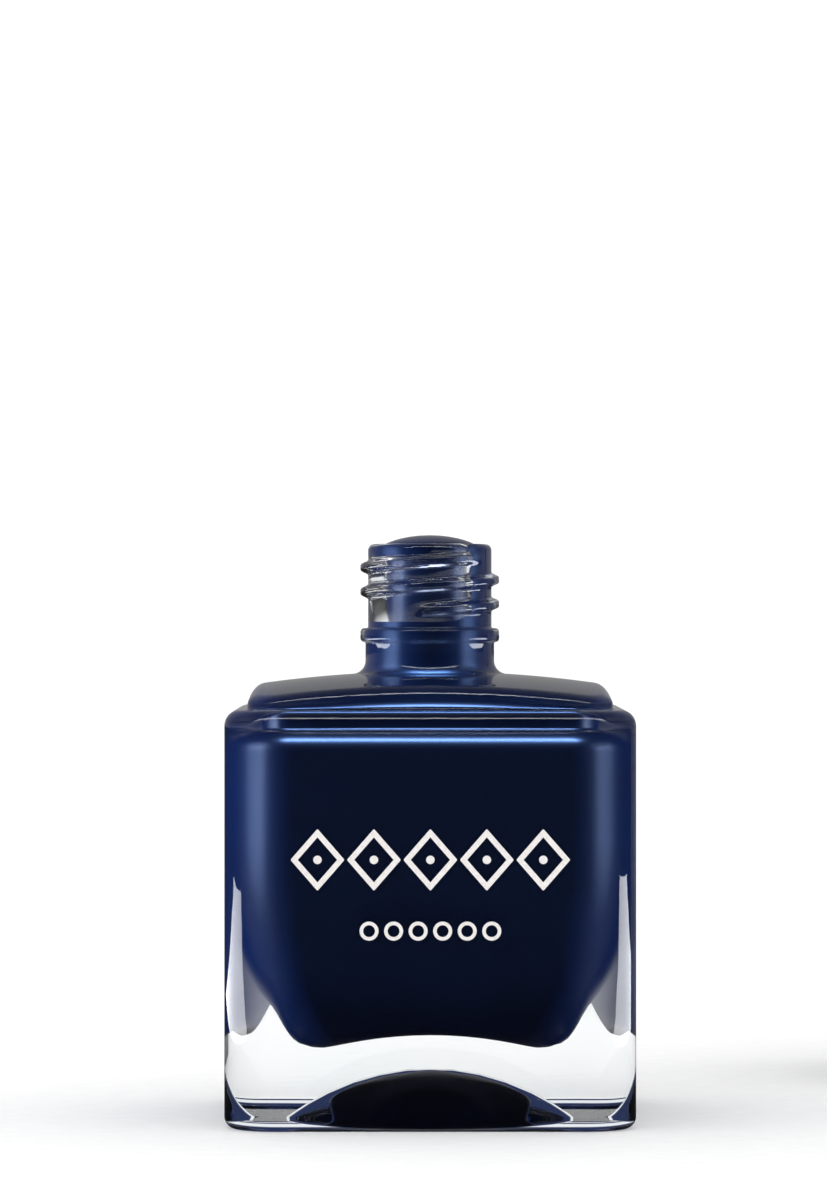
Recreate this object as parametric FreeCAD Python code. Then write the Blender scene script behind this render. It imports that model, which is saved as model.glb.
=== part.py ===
import FreeCAD, Part
import math
import os

# Nail polish bottle, 14 ml class: a square glass bottle, open and full of lacquer, with its cap and brush
# standing beside it. Millimetres, +Z up. The origin is the middle of the ring that the bottle stands on, and
# the printed front face looks towards -Y. The cap pieces are modelled screwed on, then set down.

# Glass, outside
body_width = 31.5
body_corner_radius = 4.0
base_edge_radius = 0.9
ledge_height = 32.0
ledge_edge_radius = 1.2
boss_width = 28.0
boss_corner_radius = 2.9
boss_edge_radius = 0.9
boss_top_height = 34.8
boss_dome_radius = 95.0

# Glass, neck
neck_radius = 5.05
neck_foot_radius = 1.05
bead_height = 37.1
bead_radius = 5.45
bead_length = 1.1
bead_round = 0.3
finish_radius = 4.85
rim_height = 44.8
rim_round = 0.5
bore_radius = 3.35
mouth_round = 0.4
bore_flare_radius = 2.0

# Glass, thread on the neck: right-hand, one start
thread_pitch = 1.9
thread_turns = 2.2
thread_depth = 0.6
thread_width = 1.15
thread_crest_width = 0.45
crest_share = 0.75
thread_root = 0.25
thread_start_height = 39.55
thread_start_angle = 256.0

# Glass, inside
side_wall = 2.0
floor_height = 5.8
floor_half = 9.0
vault_rise = 1.35
heel_height = 16.0
cavity_corner_radius = 3.3
heel_corner_radius = 4.5
heel_steps = 6
ledge_glass = 1.6
cavity_edge_radius = 1.4
boss_side_glass = 1.6
boss_top_glass = 1.3
inner_boss_corner_radius = 1.8
inner_boss_edge_radius = 0.9
punt_radius = 11.5
punt_rise = 4.0

# Lacquer: it bulges a little out of the mouth
bulge_height = 0.7
bulge_margin = 0.05

# Mixing balls
ball_radius = 2.0
ball_ring_radius = 9.0
ball_lift = 1.2
ball_gap = 0.1
ball_angles = (-39.0, 219.0)

# Print on the front face
ink_thickness = 0.05
ornament_count = 5
ornament_height = 4.7
ornament_width = 4.1
ornament_stroke = 0.42
ornament_gap = 0.18
ornament_dot_radius = 0.32
ornament_level = 20.7
rule_count = 6
rule_ring_radius = 0.72
rule_stroke = 0.27
rule_spacing = 1.86
rule_level = 15.3

# Overcap: it fits round the boss and stands on the ledge
cap_boss_clearance = 0.3
cap_ledge_gap = 0.2
cap_height = 40.0
cap_wall = 1.4
cap_top_wall = 1.6
cap_edge_radius = 0.8
cap_mouth_radius = 0.3

# Insert in the overcap
insert_gap = 0.05
insert_floor = 1.2
insert_length = 26.0
insert_wall = 1.1
insert_fin = 1.0
insert_fin_drop = 2.0

# Round screw cap
screw_cap_radius = 7.2
screw_cap_slide_gap = 0.15
screw_cap_end_gap = 0.1
screw_cap_top_wall = 1.3
screw_cap_bead_gap = 0.3
screw_cap_core_radius = 4.6
screw_cap_edge_radius = 0.5
screw_cap_thread_gap = 0.2
screw_cap_thread_turns = 1.3
screw_cap_thread_width = 0.8
screw_cap_crest_width = 0.35
groove_count = 36
groove_radius = 0.3
groove_depth = 0.18

# Brush stem, staple and bristles
collar_thickness = 1.0
collar_gap = 0.05
spigot_length = 5.0
plug_length = 1.8
plug_gap = 0.12
stem_radius = 1.9
stem_end_height = 24.0
stem_tip_round = 0.3
bristle_hole_radius = 1.45
bristle_hole_depth = 3.6
bristle_gap = 0.03
bristle_tip_height = 9.6
bristle_wide = 3.5
bristle_thin = 2.3
bristle_step = 0.2
bristle_belly = 0.55
bristle_shoulder = 0.15
bristle_shoulder_share = 0.9
bristle_tip_share = 0.55
staple_end_gap = 0.02
staple_height = 0.9
staple_thickness = 0.3
staple_lift = 0.5

# Where the cap set stands, upside down on its flat top
set_down_x = 55.0
set_down_y = 40.0

# Worked out from the sizes above
body_half = body_width / 2
boss_half = boss_width / 2
cavity_half = body_half - side_wall
cavity_shoulder_height = ledge_height - ledge_glass
cavity_top_height = boss_top_height - boss_top_glass
cavity_dome_radius = boss_dome_radius - boss_top_glass
cap_seat = ledge_height + cap_ledge_gap
cap_top = cap_seat + cap_height
cap_hollow_half = boss_half + cap_boss_clearance
cap_hollow_corner = boss_corner_radius + cap_boss_clearance
cap_hollow_top = cap_top - cap_top_wall
insert_low = cap_hollow_top - insert_floor
insert_mouth = cap_hollow_top - insert_length
insert_bore = screw_cap_radius + screw_cap_slide_gap
thread_crest = finish_radius + thread_depth
screw_cap_foot = bead_height + bead_length + screw_cap_bead_gap
screw_cap_top = insert_low - screw_cap_end_gap
screw_cap_root = thread_crest + screw_cap_thread_gap
collar_low = rim_height + collar_gap
collar_top = collar_low + collar_thickness
front = -body_half


def vec(x, y, z):
    return FreeCAD.Vector(x, y, z)


def line(start, end):
    return Part.LineSegment(start, end).toShape()


def arc(start, middle, end):
    return Part.Arc(start, middle, end).toShape()


def quarter_turned(x, y, z, quarters):
    """The point turned about the Z axis by a number of quarter turns."""
    for _ in range(quarters):
        x, y = -y, x
    return vec(x, y, z)


def rounded_square(half, radius, z):
    """Closed outline of a square with round corners, centred on the Z axis."""
    flat = half - radius
    diagonal = flat + radius * math.sqrt(0.5)
    edges = []
    for quarter in range(4):
        start = quarter_turned(half, -flat, z, quarter)
        bend_start = quarter_turned(half, flat, z, quarter)
        bend_middle = quarter_turned(diagonal, diagonal, z, quarter)
        bend_end = quarter_turned(flat, half, z, quarter)
        edges.append(line(start, bend_start))
        edges.append(arc(bend_start, bend_middle, bend_end))
    return Part.Wire(edges)


def square_block(half, radius, low, high):
    return Part.Face(rounded_square(half, radius, low)).extrude(vec(0, 0, high - low))


def edges_above(solid, z):
    """Edges that lie wholly above a height."""
    return [edge for edge in solid.Edges if edge.BoundBox.ZMin > z]


def edges_below(solid, z):
    """Edges that lie wholly below a height."""
    return [edge for edge in solid.Edges if edge.BoundBox.ZMax < z]


def domed_block(half, radius, low, top, dome_radius, edge_radius):
    """Square block whose top is a shallow dome that peaks on the axis at top, with its upper edge rounded."""
    block = square_block(half, radius, low, top + 1)
    dome = Part.makeSphere(dome_radius, vec(0, 0, top - dome_radius))
    domed = block.common(dome).Solids[0]
    return domed.makeFillet(edge_radius, edges_above(domed, low + edge_radius / 2))


def dome_level(radius, top, dome_radius):
    """Height of a dome's surface at a distance from the axis."""
    return top - dome_radius + math.sqrt(dome_radius ** 2 - radius ** 2)


def revolved(edges):
    """Solid turned from a closed half-section in the XZ plane."""
    face = Part.Face(Part.Wire(edges))
    return face.revolve(vec(0, 0, 0), vec(0, 0, 1), 360)


def turned(points):
    """Solid turned from straight lines through (radius, height) points, closed along the axis."""
    corners = [vec(0, 0, points[0][1])] + [vec(r, 0, z) for r, z in points] + [vec(0, 0, points[-1][1])]
    edges = [line(a, b) for a, b in zip(corners, corners[1:] + corners[:1])]
    return revolved(edges)


def round_bar(radius, low, high):
    return Part.makeCylinder(radius, high - low, vec(0, 0, low))


def round_corner(centre_r, centre_z, radius, start_angle, end_angle):
    """Quarter arc in the XZ plane, from one angle to the other, in degrees from +X towards +Z."""
    angles = [start_angle, (start_angle + end_angle) / 2, end_angle]
    points = []
    for angle in angles:
        turn = math.radians(angle)
        points.append(vec(centre_r + radius * math.cos(turn), 0, centre_z + radius * math.sin(turn)))
    return arc(*points)


def loop(pieces):
    """Closed loop in the XZ plane from points and arcs, joined by straight lines where they don't meet."""
    edges = []
    here = None
    first = None
    for piece in pieces:
        is_point = isinstance(piece, FreeCAD.Vector)
        start = piece if is_point else piece.Vertexes[0].Point
        end = piece if is_point else piece.Vertexes[-1].Point
        if here is None:
            first = start
        elif here.distanceToPoint(start) > 1e-6:
            edges.append(line(here, start))
        if not is_point:
            edges.append(piece)
        here = end
    if here.distanceToPoint(first) > 1e-6:
        edges.append(line(here, first))
    return edges


def helical_ridge(wall_radius, depth, width, crest_width, start_height, turns):
    """Thread wound round the Z axis: sloping flanks and a round crest, its root sunk in the wall that carries it.
    A negative depth points inwards."""
    outward = math.copysign(1, depth)
    # The flanks run on below the wall at their own slope, as far as thread_root.
    slope = (width - crest_width) / 2 / (abs(depth) * crest_share)
    root_half = width / 2 + thread_root * slope
    root = wall_radius - outward * thread_root
    shoulder = wall_radius + depth * crest_share
    low_root = vec(root, 0, -root_half)
    low_shoulder = vec(shoulder, 0, -crest_width / 2)
    high_shoulder = vec(shoulder, 0, crest_width / 2)
    high_root = vec(root, 0, root_half)
    section = Part.Wire([
        line(low_root, low_shoulder),
        arc(low_shoulder, vec(wall_radius + depth, 0, 0), high_shoulder),
        line(high_shoulder, high_root),
        line(high_root, low_root),
    ])
    path = Part.makeHelix(thread_pitch, thread_pitch * turns, wall_radius)
    ridge = Part.Wire(path.Edges).makePipeShell([section], True, True)
    ridge.rotate(vec(0, 0, 0), vec(0, 0, 1), thread_start_angle)
    ridge.translate(vec(0, 0, start_height))
    return Part.Solid(ridge.Shells[0])


def neck():
    """Solid neck: foot, grip, transfer bead and the wall that carries the thread."""
    foot_outer = neck_radius + neck_foot_radius
    foot_level = dome_level(foot_outer, boss_top_height, boss_dome_radius)
    bead_top = bead_height + bead_length
    return revolved(loop([
        vec(0, 0, ledge_height),
        vec(foot_outer, 0, ledge_height),
        round_corner(foot_outer, foot_level + neck_foot_radius, neck_foot_radius, 270, 180),
        vec(neck_radius, 0, bead_height),
        round_corner(bead_radius - bead_round, bead_height + bead_round, bead_round, 270, 360),
        round_corner(bead_radius - bead_round, bead_top - bead_round, bead_round, 0, 90),
        vec(finish_radius, 0, bead_top),
        round_corner(finish_radius - rim_round, rim_height - rim_round, rim_round, 0, 90),
        vec(0, 0, rim_height),
    ]))


def glass_outside():
    body = square_block(body_half, body_corner_radius, 0, ledge_height)
    body = body.makeFillet(base_edge_radius, edges_below(body, base_edge_radius / 2))
    body = body.makeFillet(ledge_edge_radius, edges_above(body, ledge_height - ledge_edge_radius / 2))
    boss_low = ledge_height - ledge_edge_radius
    boss = domed_block(boss_half, boss_corner_radius, boss_low, boss_top_height, boss_dome_radius, boss_edge_radius)
    thread = helical_ridge(finish_radius, thread_depth, thread_width, thread_crest_width, thread_start_height,
                           thread_turns)
    return body.fuse([boss, neck(), thread]).removeSplitter().Solids[0]


def cavity():
    """The space inside the glass, up to the rim. It follows the outside: upright walls, a flat shoulder, the
    raised boss and the bore. The heel narrows to the floor along a quarter ellipse."""
    sections = []
    heel_inset = cavity_half - floor_half
    for step in range(heel_steps + 1):
        turn = math.radians(90 * step / heel_steps)
        left = 1 - math.sin(turn)
        half = cavity_half - heel_inset * left
        radius = cavity_corner_radius + (heel_corner_radius - cavity_corner_radius) * left
        sections.append(rounded_square(half, radius, floor_height + heel_height * (1 - math.cos(turn))))
    heel = Part.makeLoft(sections, True)
    upper = square_block(cavity_half, cavity_corner_radius, floor_height + heel_height, cavity_shoulder_height)
    upper = upper.makeFillet(cavity_edge_radius, edges_above(upper, cavity_shoulder_height - cavity_edge_radius / 2))
    inner_boss = domed_block(boss_half - boss_side_glass, inner_boss_corner_radius,
                             cavity_shoulder_height - cavity_edge_radius, cavity_top_height, cavity_dome_radius,
                             inner_boss_edge_radius)
    flare_outer = bore_radius + bore_flare_radius
    flare_level = dome_level(flare_outer, cavity_top_height, cavity_dome_radius)
    throat = revolved(loop([
        vec(0, 0, flare_level - 1),
        vec(flare_outer, 0, flare_level - 1),
        round_corner(flare_outer, flare_level + bore_flare_radius, bore_flare_radius, 270, 180),
        round_corner(bore_radius + mouth_round, rim_height - mouth_round, mouth_round, 180, 90),
        vec(0, 0, rim_height),
    ]))
    return heel.fuse([upper, inner_boss, throat]).removeSplitter().cut(floor_vaults()).Solids[0]


def floor_vaults():
    """Two crossed barrels that raise the floor: it is lowest in its four corners and arched along each side."""
    radius = (floor_half ** 2 + vault_rise ** 2) / (2 * vault_rise)
    axis = floor_height + vault_rise - radius
    along_x = Part.makeCylinder(radius, body_width, vec(-body_half, 0, axis), vec(1, 0, 0))
    along_y = Part.makeCylinder(radius, body_width, vec(0, -body_half, axis), vec(0, 1, 0))
    return [along_x, along_y]


def glass_bottle(inside):
    punt_sphere = (punt_radius ** 2 + punt_rise ** 2) / (2 * punt_rise)
    punt = Part.makeSphere(punt_sphere, vec(0, 0, punt_rise - punt_sphere))
    return glass_outside().cut(inside).cut(punt).Solids[0]


def ball_centres():
    """The balls lie in two of the floor's low corners, just clear of it."""
    height = floor_height + ball_radius + ball_lift
    centres = []
    for angle in ball_angles:
        turn = math.radians(angle)
        centres.append(vec(ball_ring_radius * math.cos(turn), ball_ring_radius * math.sin(turn), height))
    return centres


def polish(inside):
    """The lacquer fills the glass, bulges at the mouth, and leaves room for the balls."""
    bulge_base = bore_radius + mouth_round - bulge_margin
    bulge_sphere = (bulge_base ** 2 + bulge_height ** 2) / (2 * bulge_height)
    centre = vec(0, 0, rim_height + bulge_height - bulge_sphere)
    bulge = Part.makeSphere(bulge_sphere, centre).common(round_bar(bulge_sphere, rim_height, rim_height + 1))
    rooms = [Part.makeSphere(ball_radius + ball_gap, centre) for centre in ball_centres()]
    return inside.fuse(bulge).cut(rooms).Solids[0]


def ink(outer_points, inner_points, x, z):
    """Closed stroke of ink on the front face, between two outlines of (x, z) points."""
    shapes = []
    for points in (outer_points, inner_points):
        corners = [vec(x + px, front, z + pz) for px, pz in points]
        corners.append(corners[0])
        shapes.append(Part.Face(Part.makePolygon(corners)))
    return shapes[0].cut(shapes[1]).Faces[0].extrude(vec(0, -ink_thickness, 0))


def ink_disc(radius, x, z):
    return Part.makeCylinder(radius, ink_thickness, vec(x, front, z), vec(0, -1, 0))


def lozenge(half_width, half_height):
    return [(half_width, 0), (0, half_height), (-half_width, 0), (0, -half_height)]


def front_ornament():
    """A row of thin lozenges with a dot in each."""
    strokes = []
    step = ornament_width + ornament_gap
    half_width = ornament_width / 2
    half_height = ornament_height / 2
    # A stroke of even thickness moves each corner in by the thickness over the sine of its half angle.
    side = math.hypot(half_width, half_height)
    inner_width = half_width - ornament_stroke * side / half_height
    inner_height = half_height - ornament_stroke * side / half_width
    for index in range(ornament_count):
        x = (index - (ornament_count - 1) / 2) * step
        strokes.append(ink(lozenge(half_width, half_height), lozenge(inner_width, inner_height), x, ornament_level))
        strokes.append(ink_disc(ornament_dot_radius, x, ornament_level))
    return Part.Compound(strokes)


def front_rule():
    """A row of small rings under the ornament."""
    rings = []
    for index in range(rule_count):
        x = (index - (rule_count - 1) / 2) * rule_spacing
        disc = ink_disc(rule_ring_radius, x, rule_level)
        rings.append(disc.cut(ink_disc(rule_ring_radius - rule_stroke, x, rule_level)))
    return Part.Compound(rings)


def overcap():
    shell = square_block(cap_hollow_half + cap_wall, cap_hollow_corner + cap_wall, cap_seat, cap_top)
    shell = shell.makeFillet(cap_edge_radius, edges_above(shell, cap_top - cap_edge_radius / 2))
    shell = shell.makeFillet(cap_mouth_radius, edges_below(shell, cap_seat + cap_mouth_radius / 2))
    hollow = square_block(cap_hollow_half, cap_hollow_corner, cap_seat - 1, cap_hollow_top)
    return shell.cut(hollow).Solids[0]


def overcap_insert():
    """Plate under the top of the overcap with a sleeve, and four fins that centre it between the walls."""
    reach = cap_hollow_half - insert_gap
    plate = square_block(reach, cap_hollow_corner - insert_gap, insert_low, cap_hollow_top)
    sleeve = round_bar(insert_bore + insert_wall, insert_mouth, insert_low)
    fin_low = insert_mouth + insert_fin_drop
    fins = []
    for size in ((2 * reach, insert_fin), (insert_fin, 2 * reach)):
        corner = vec(-size[0] / 2, -size[1] / 2, fin_low)
        fins.append(Part.makeBox(size[0], size[1], insert_low - fin_low, corner))
    whole = plate.fuse([sleeve] + fins)
    return whole.cut(round_bar(insert_bore, insert_mouth - 1, insert_low)).Solids[0]


def inner_cap():
    """Round screw cap with grip grooves, hollow above the stem's spigot, with the inside thread."""
    body = round_bar(screw_cap_radius, screw_cap_foot, screw_cap_top)
    body = body.makeFillet(screw_cap_edge_radius, edges_above(body, screw_cap_top - screw_cap_edge_radius))
    grooves = []
    for index in range(groove_count):
        turn = 2 * math.pi * index / groove_count
        reach = screw_cap_radius + groove_radius - groove_depth
        foot = vec(reach * math.cos(turn), reach * math.sin(turn), screw_cap_foot - 1)
        length = screw_cap_top - 2 * screw_cap_edge_radius - foot.z
        grooves.append(Part.makeCylinder(groove_radius, length, foot))
    socket = round_bar(screw_cap_root, screw_cap_foot - 1, collar_top)
    core = round_bar(screw_cap_core_radius, collar_top, screw_cap_top - screw_cap_top_wall)
    body = body.cut(grooves + [socket, core])
    # The inside ridge runs half a pitch above the neck's, so the two mesh.
    depth = screw_cap_root - finish_radius - screw_cap_thread_gap
    ridge = helical_ridge(screw_cap_root, -depth, screw_cap_thread_width, screw_cap_crest_width,
                          thread_start_height + thread_pitch / 2, screw_cap_thread_turns)
    return body.fuse(ridge).Solids[0]


def brush_stem():
    """Rod with the collar that seals on the rim, the spigot pressed into the screw cap, and the mouth plug."""
    plug_radius = bore_radius - plug_gap
    plug_low = collar_low - plug_length
    stem = turned([
        (stem_radius - stem_tip_round, stem_end_height),
        (stem_radius, stem_end_height + stem_tip_round),
        (stem_radius, plug_low),
        (plug_radius - plug_gap, plug_low),
        (plug_radius, collar_low),
        (screw_cap_root - collar_gap, collar_low),
        (screw_cap_root - collar_gap, collar_top),
        (screw_cap_core_radius, collar_top),
        (screw_cap_core_radius, collar_top + spigot_length),
    ])
    hole = round_bar(bristle_hole_radius, stem_end_height - 1, stem_end_height + bristle_hole_depth)
    return stem.cut(hole).Solids[0]


def brush_staple():
    """Flat metal anchor that the bristles are folded over, across the hole in the stem."""
    low = stem_end_height + bristle_hole_depth - staple_lift - staple_height
    width = 2 * (bristle_hole_radius - staple_end_gap)
    corner = vec(-width / 2, -staple_thickness / 2, low)
    return Part.makeBox(width, staple_thickness, staple_height, corner)


def oval(wide, thin, z):
    """Closed elliptical outline, wide along X."""
    ellipse = Part.Ellipse(vec(0, 0, z), wide / 2, thin / 2)
    return Part.Wire([ellipse.toShape()])


def bristles(staple):
    """Outer shape of the tuft: a round root in the stem, then a flat belly and a narrower, rounded tip."""
    root_radius = bristle_hole_radius - bristle_gap
    root_top = stem_end_height + bristle_hole_depth - bristle_gap
    root = round_bar(root_radius, stem_end_height, root_top)
    # The free tuft starts a little inside the root and a little thinner, so it leaves the hole cleanly.
    waist = 2 * (root_radius - bristle_step)
    free = stem_end_height - bristle_tip_height
    tuft = Part.makeLoft([
        oval(waist, waist, stem_end_height + bristle_step),
        oval(bristle_wide, bristle_thin, stem_end_height - free * bristle_belly),
        oval(bristle_wide * bristle_shoulder_share, bristle_thin * bristle_shoulder_share,
             bristle_tip_height + free * bristle_shoulder),
        oval(bristle_wide * bristle_tip_share, bristle_thin * bristle_tip_share, bristle_tip_height),
    ], True)
    return root.fuse(tuft).Solids[0].cut(staple).Solids[0]


def set_down(shape):
    """Turns a cap piece upside down and stands the set on its flat top beside the bottle."""
    shape.rotate(vec(0, 0, 0), vec(1, 0, 0), 180)
    shape.translate(vec(set_down_x, set_down_y, cap_top))
    return shape


def main():
    inside = cavity()
    balls = [Part.makeSphere(ball_radius, centre) for centre in ball_centres()]
    staple = brush_staple()
    nodes = {
        "glass_bottle": glass_bottle(inside),
        "polish": polish(inside),
        "front_ornament": front_ornament(),
        "front_rule": front_rule(),
        "mixing_ball_1": balls[0],
        "mixing_ball_2": balls[1],
        "overcap": set_down(overcap()),
        "overcap_insert": set_down(overcap_insert()),
        "inner_cap": set_down(inner_cap()),
        "brush_stem": set_down(brush_stem()),
        "bristles": set_down(bristles(staple)),
        "brush_staple": set_down(staple),
    }
    os.makedirs("parts", exist_ok=True)
    for name, shape in nodes.items():
        shape.exportStep(f"parts/{name}.step")
        print(f"{name}: valid {shape.isValid()}, {len(shape.Solids)} solids, {shape.Volume / 1000:.3f} ml")
    print(f"inside of the glass to the rim: {inside.Volume / 1000:.2f} ml")


main()
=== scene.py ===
import math
import random

import bmesh
import bpy
from mathutils import Matrix, Vector


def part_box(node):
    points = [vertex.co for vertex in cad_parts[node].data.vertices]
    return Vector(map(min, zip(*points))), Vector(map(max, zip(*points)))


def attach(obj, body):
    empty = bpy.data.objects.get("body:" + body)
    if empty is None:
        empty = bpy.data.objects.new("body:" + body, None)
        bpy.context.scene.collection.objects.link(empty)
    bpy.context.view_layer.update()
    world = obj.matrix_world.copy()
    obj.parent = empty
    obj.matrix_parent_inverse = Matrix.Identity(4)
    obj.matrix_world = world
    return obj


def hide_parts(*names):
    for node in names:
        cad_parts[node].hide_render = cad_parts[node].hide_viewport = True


# An open square nail polish bottle full of near-black navy lacquer, with its cap set standing beside it.
# Lengths below are in millimetres and turn to metres as each piece is finished.

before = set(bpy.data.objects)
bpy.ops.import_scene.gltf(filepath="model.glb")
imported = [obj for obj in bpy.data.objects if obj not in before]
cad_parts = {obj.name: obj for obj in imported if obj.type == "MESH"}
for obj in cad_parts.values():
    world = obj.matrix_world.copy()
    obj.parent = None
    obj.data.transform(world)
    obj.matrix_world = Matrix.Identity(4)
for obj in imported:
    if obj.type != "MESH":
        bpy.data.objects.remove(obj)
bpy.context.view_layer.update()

MM = 0.001

# Glass, outside
BODY_HALF = 15.75
BODY_CORNER = 4.0
BASE_EDGE = 0.9
LEDGE = 32.0
LEDGE_EDGE = 1.2
BOSS_HALF = 14.0
BOSS_CORNER = 2.9
BOSS_EDGE = 1.05
BOSS_FOOT = 0.3
BOSS_TOP = 34.8
BOSS_DOME = 95.0

# Neck
NECK = 5.05
NECK_FOOT = 1.05
BEAD_LOW = 37.1
BEAD_HIGH = 38.2
BEAD = 5.45
BEAD_EDGE = 0.3
BEAD_FOOT = 0.12
FINISH = 4.85
RIM = 44.8
RIM_EDGE = 0.5
BORE = 3.35
MOUTH_EDGE = 0.4
BORE_FLARE = 2.0

# Thread on the neck: right hand
PITCH = 1.9
TURNS = 2.2
THREAD_DEPTH = 0.6
THREAD_WIDTH = 1.15
THREAD_CREST = 0.4
THREAD_START = 39.55
THREAD_ANGLE = math.radians(256)
RUN_IN = math.radians(22)
RUN_OUT = math.radians(50)

# Glass, inside
CAVITY_HALF = 13.75
CAVITY_CORNER = 3.3
SHOULDER = 30.4
CAVITY_EDGE = 1.4
INNER_BOSS_HALF = 12.4
INNER_BOSS_CORNER = 1.8
INNER_BOSS_EDGE = 0.9
INNER_BOSS_FOOT = 0.3
CAVITY_TOP = 33.5
CAVITY_DOME = 93.7
FLOOR = 5.8
FLOOR_HALF = 9.0
VAULT_RISE = 1.35
VAULT_BLEND = 0.15
HEEL = 16.0
HEEL_CORNER = 4.5
PUNT = 11.5
PUNT_RISE = 4.0
PUNT_LIP = 0.5

# The lacquer stands a hair into the glass, so that no air shows between the two.
WETTING = 0.02
BULGE = 0.7

# Cap set, screwed on: heights above the bottle's base, then set down upside down beside it
CAP_SEAT = 32.2
CAP_TOP = 72.2
CAP_HALF = 15.7
CAP_CORNER = 4.6
CAP_WALL = 1.4
CAP_TOP_WALL = 1.6
CAP_EDGE = 0.8
CAP_MOUTH_EDGE = 0.3
CAP_INNER_EDGE = 0.25
INSERT_GAP = 0.05
INSERT_LOW = 69.4
INSERT_MOUTH = 44.6
INSERT_BORE = 7.35
INSERT_WALL = 1.1
FIN = 1.0
FIN_DROP = 2.0
SCREW_CAP = 7.2
SCREW_CAP_FOOT = 38.5
SCREW_CAP_TOP = 69.3
SCREW_CAP_EDGE = 0.5
SCREW_CAP_TOP_WALL = 1.3
SOCKET = 5.65
CORE = 4.6
CAP_THREAD_DEPTH = 0.6
CAP_THREAD_WIDTH = 0.8
CAP_THREAD_CREST = 0.3
CAP_THREAD_TURNS = 1.3
GROOVES = 36
GROOVE_CUTTER = 0.3
GROOVE_DEPTH = 0.18
COLLAR_LOW = 44.85
COLLAR_TOP = 45.85
COLLAR = 5.6
SPIGOT_TOP = 50.85
PLUG = 3.23
PLUG_TAPER = 0.12
PLUG_LOW = 43.05
STEM = 1.9
STEM_END = 24.0
STEM_TIP = 0.3
HOLE = 1.45
HOLE_TOP = 27.6
TUFT_ROOT = 1.2
TUFT_TIP = 9.6
TUFT_WIDE = 1.75
TUFT_THIN = 1.15
SET_DOWN_X = 55.0
SET_DOWN_Y = 40.0


# ---------------------------------------------------------------- shapes

def quarter(steps):
    """Angles of a quarter turn after its start, in even steps."""
    return [math.pi / 2 * step / steps for step in range(1, steps + 1)]


def shares(steps):
    """Even shares from just above 0 to 1."""
    return [step / steps for step in range(1, steps + 1)]


def mix(a, b, share):
    return a + (b - a) * share


def smooth(share):
    share = min(1.0, max(0.0, share))
    return share * share * (3 - 2 * share)


def outline(angle, half, corner):
    """Distance from the axis to a square with round corners, in the direction of an angle."""
    turn = abs(math.remainder(angle, math.pi / 2))
    flat = half - corner
    if half * math.tan(turn) <= flat:
        return half / math.cos(turn)
    along = flat * (math.cos(turn) + math.sin(turn))
    return along + math.sqrt(max(0.0, along ** 2 - 2 * flat ** 2 + corner ** 2))


def square_directions():
    """Directions round a square section: wide apart along its sides and close together over its corners."""
    side = [0, 7, 14, 21, 27, 32, 35.2]
    bend = [36.2 + 0.975 * step for step in range(19)]
    quadrant = side + bend + [90 - turn for turn in reversed(side[1:])]
    return [math.radians(90 * quarter_turn + turn) for quarter_turn in range(4) for turn in quadrant]


def skin(rings, directions, relief=None):
    """Closed surface from rings about the Z axis, each (half width, corner radius, height). A height may be a
    function of x and y. relief(angle, radius, height) moves a point out. Both ends close."""
    bm = bmesh.new()
    bmesh.ops.create_circle(bm, segments=len(directions), radius=1)
    bm.verts.ensure_lookup_table()
    for vert, angle in zip(bm.verts, directions):
        vert.co = (math.cos(angle), math.sin(angle), 0)

    def place(verts, half, corner, height):
        for vert in verts:
            angle = math.atan2(vert.co.y, vert.co.x)
            radius = outline(angle, half, corner)
            level = height(radius * math.cos(angle), radius * math.sin(angle)) if callable(height) else height
            if relief:
                radius += relief(angle, radius, level)
            vert.co = (radius * math.cos(angle), radius * math.sin(angle), level)

    loop = list(bm.edges)
    first = list(bm.verts)
    place(first, *rings[0])
    for ring in rings[1:]:
        made = bmesh.ops.extrude_edge_only(bm, edges=loop)["geom"]
        loop = [part for part in made if isinstance(part, bmesh.types.BMEdge)]
        last = [part for part in made if isinstance(part, bmesh.types.BMVert)]
        place(last, *ring)
    for verts in (first, last):
        centre = Vector((0, 0, sum(vert.co.z for vert in verts) / len(verts)))
        bmesh.ops.pointmerge(bm, verts=verts, merge_co=centre)
    bmesh.ops.recalc_face_normals(bm, faces=bm.faces)
    return bm


def lathe(points, steps=72):
    """Closed solid turned from (radius, height) points: a line from axis to axis, or else a closed loop."""
    bm = bmesh.new()
    verts = [bm.verts.new((radius, 0, height)) for radius, height in points]
    ends = verts[1:] if points[0][0] == 0 else verts[1:] + verts[:1]
    edges = [bm.edges.new(pair) for pair in zip(verts, ends)]
    bmesh.ops.spin(bm, geom=verts + edges, cent=(0, 0, 0), axis=(0, 0, 1), dvec=(0, 0, 0), angle=2 * math.pi,
                   steps=steps, use_merge=True)
    bmesh.ops.remove_doubles(bm, verts=bm.verts, dist=1e-5)
    bmesh.ops.recalc_face_normals(bm, faces=bm.faces)
    return bm


def round_off(centre_r, centre_z, radius, start, end, steps):
    """Points on an arc of a half-section, from one angle to another in degrees, both ends included."""
    points = []
    for step in range(steps + 1):
        turn = math.radians(mix(start, end, step / steps))
        points.append((centre_r + radius * math.cos(turn), centre_z + radius * math.sin(turn)))
    return points


def joined(*meshes):
    """One bmesh that holds the others' closed shells."""
    whole = meshes[0]
    for other in meshes[1:]:
        spare = bpy.data.meshes.new("spare")
        other.to_mesh(spare)
        other.free()
        whole.from_mesh(spare)
        bpy.data.meshes.remove(spare)
    return whole


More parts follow.
